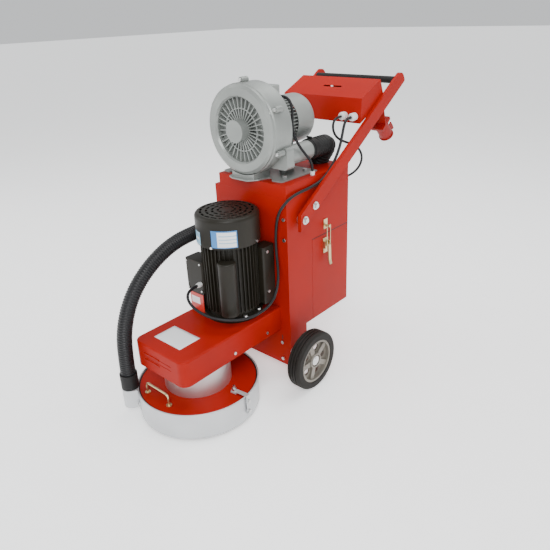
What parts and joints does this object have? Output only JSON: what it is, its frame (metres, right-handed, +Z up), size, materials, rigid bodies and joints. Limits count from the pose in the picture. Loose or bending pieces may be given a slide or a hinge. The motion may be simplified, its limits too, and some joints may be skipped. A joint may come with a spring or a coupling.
{
  "type": "concrete grinder",
  "caption": "Walk-behind single-disc concrete grinder with belt-driven head, upright motor, and a dust collector with blower, bin and two wheels.",
  "frame": {"origin": "on the floor under the middle of the machine's overall length, on its mid-plane", "axes": "+X to the right seen from the front, +Y from the grinding head back to the handle, +Z up"},
  "size_m": [0.512, 1.1118, 0.9819],
  "materials": {
    "zinc_sheet": "satin",
    "black_rubber": "matte",
    "red_paint": "satin",
    "hose_plastic": "ribbed",
    "cast_metal": "rough",
    "bright_steel": "plated",
    "motor_paint": "satin",
    "black_plastic": "matte",
    "filter_media": "pleated",
    "tyre": "matte",
    "white_plastic": "matte",
    "green_plastic": "gloss",
    "red_plastic": "gloss",
    "grey_cast": "satin",
    "cable_jacket": "matte"
  },
  "bodies": {
    "frame": {"axle_set": "bright_steel", "bearings": "bright_steel", "belt_housing": "red_paint", "blower_cable": "cable_jacket", "blower_casing": "grey_cast", "blower_cover": "grey_cast", "blower_fan_cover": "grey_cast", "blower_foot": "grey_cast", "blower_motor": "grey_cast", "blower_tray": "red_paint", "cabinet_decks": "red_paint", "cabinet_panels": "red_paint", "cable_glands": "white_plastic", "control_box": "red_paint", "cover_disc": "red_paint", "cover_handle": "zinc_sheet", "drive_belts": "black_rubber", "dust_bin": "red_paint", "dust_skirt": "zinc_sheet", "electrical_parts": "black_plastic", "fasteners": "bright_steel", "filter_cartridge": "filter_media", "handle_bars": "red_paint", "handle_grip": "black_rubber", "hose_fittings": "black_rubber", "housing_floor": "red_paint", "latch_bases": "bright_steel", "motor_boxes": "motor_paint", "motor_cable": "cable_jacket", "motor_fan_cowl": "motor_paint", "motor_frame": "motor_paint", "power_inlet": "black_plastic", "seals": "black_rubber", "silencer_tubes": "grey_cast", "skirt_clamps": "zinc_sheet", "spindle_housing": "cast_metal", "stator_core": "bright_steel", "suction_elbow": "black_rubber", "suction_hose": "hose_plastic", "suction_port": "zinc_sheet", "supply_cable": "cable_jacket"},
    "spindle": {"spindle_shaft": "bright_steel", "grinding_disc": "cast_metal", "diamond_shoes": "bright_steel", "driven_pulley": "cast_metal"},
    "motor_rotor": {"rotor": "bright_steel", "drive_pulley": "cast_metal", "cooling_fan": "black_plastic"},
    "blower_rotor_body": {"blower_rotor": "grey_cast"},
    "wheel_right": {"wheel_rim_right": "cast_metal", "tyre_right": "tyre"},
    "wheel_left": {"wheel_rim_left": "cast_metal", "tyre_left": "tyre"},
    "lever_right": {"latch_lever_right": "bright_steel"},
    "lever_left": {"latch_lever_left": "bright_steel"},
    "loop_right": {"latch_loop_right": "bright_steel"},
    "loop_left": {"latch_loop_left": "bright_steel"},
    "start_button_body": {"start_button": "green_plastic"},
    "stop_button_body": {"stop_button": "red_plastic"},
    "inlet_cap_body": {"inlet_cap": "black_plastic"}
  },
  "joints": [
    {"name": "spindle_spin", "type": "hinge", "parent": "frame", "child": "spindle", "pos_m": [0, -0.35741, 0.045], "axis": [0, 0, 1], "continuous": true},
    {"name": "motor_rotor_spin", "type": "hinge", "parent": "frame", "child": "motor_rotor", "pos_m": [0, -0.17941, 0.212], "axis": [0, 0, 1], "continuous": true},
    {"name": "blower_rotor_spin", "type": "hinge", "parent": "frame", "child": "blower_rotor_body", "pos_m": [-0.012, -0.02741, 0.83], "axis": [0, 1, 0], "continuous": true},
    {"name": "wheel_right_spin", "type": "hinge", "parent": "frame", "child": "wheel_right", "pos_m": [0.2315, -0.06542, 0.1], "axis": [1, 0, 0], "continuous": true},
    {"name": "wheel_left_spin", "type": "hinge", "parent": "frame", "child": "wheel_left", "pos_m": [-0.2315, -0.06542, 0.1], "axis": [1, 0, 0], "continuous": true},
    {"name": "latch_lever_right_turn", "type": "hinge", "parent": "frame", "child": "lever_right", "pos_m": [0.161, 0.11658, 0.432], "axis": [0, -1, 0], "range_deg": [0, 90]},
    {"name": "latch_lever_left_turn", "type": "hinge", "parent": "frame", "child": "lever_left", "pos_m": [-0.161, 0.11658, 0.432], "axis": [0, 1, 0], "range_deg": [0, 90]},
    {"name": "latch_loop_right_turn", "type": "hinge", "parent": "lever_right", "child": "loop_right", "pos_m": [0.169, 0.11658, 0.432], "axis": [0, -1, 0], "range_deg": [-90, 0]},
    {"name": "latch_loop_left_turn", "type": "hinge", "parent": "lever_left", "child": "loop_left", "pos_m": [-0.169, 0.11658, 0.432], "axis": [0, 1, 0], "range_deg": [-90, 0]},
    {"name": "start_button_press", "type": "slide", "parent": "frame", "child": "start_button_body", "axis": [0, -0.9199, -0.3921], "range_m": [0, 0.004], "stiffness_N_per_m": 300, "springref_m": -0.002},
    {"name": "stop_button_press", "type": "slide", "parent": "frame", "child": "stop_button_body", "axis": [0, -0.9199, -0.3921], "range_m": [0, 0.004], "stiffness_N_per_m": 300, "springref_m": -0.002},
    {"name": "inlet_cap_turn", "type": "hinge", "parent": "frame", "child": "inlet_cap_body", "pos_m": [0.138, 0.5366, 0.74978], "axis": [1, 0, 0], "range_deg": [0, 110], "stiffness_Nm_per_rad": 0.02, "springref_deg": -34.38}
  ],
  "couplings": [
    {"joint": "motor_rotor_spin", "follows": "spindle_spin", "ratio": 1.625},
    {"joint": "latch_loop_right_turn", "follows": "latch_lever_right_turn", "ratio": -1},
    {"joint": "latch_loop_left_turn", "follows": "latch_lever_left_turn", "ratio": -1}
  ]
}
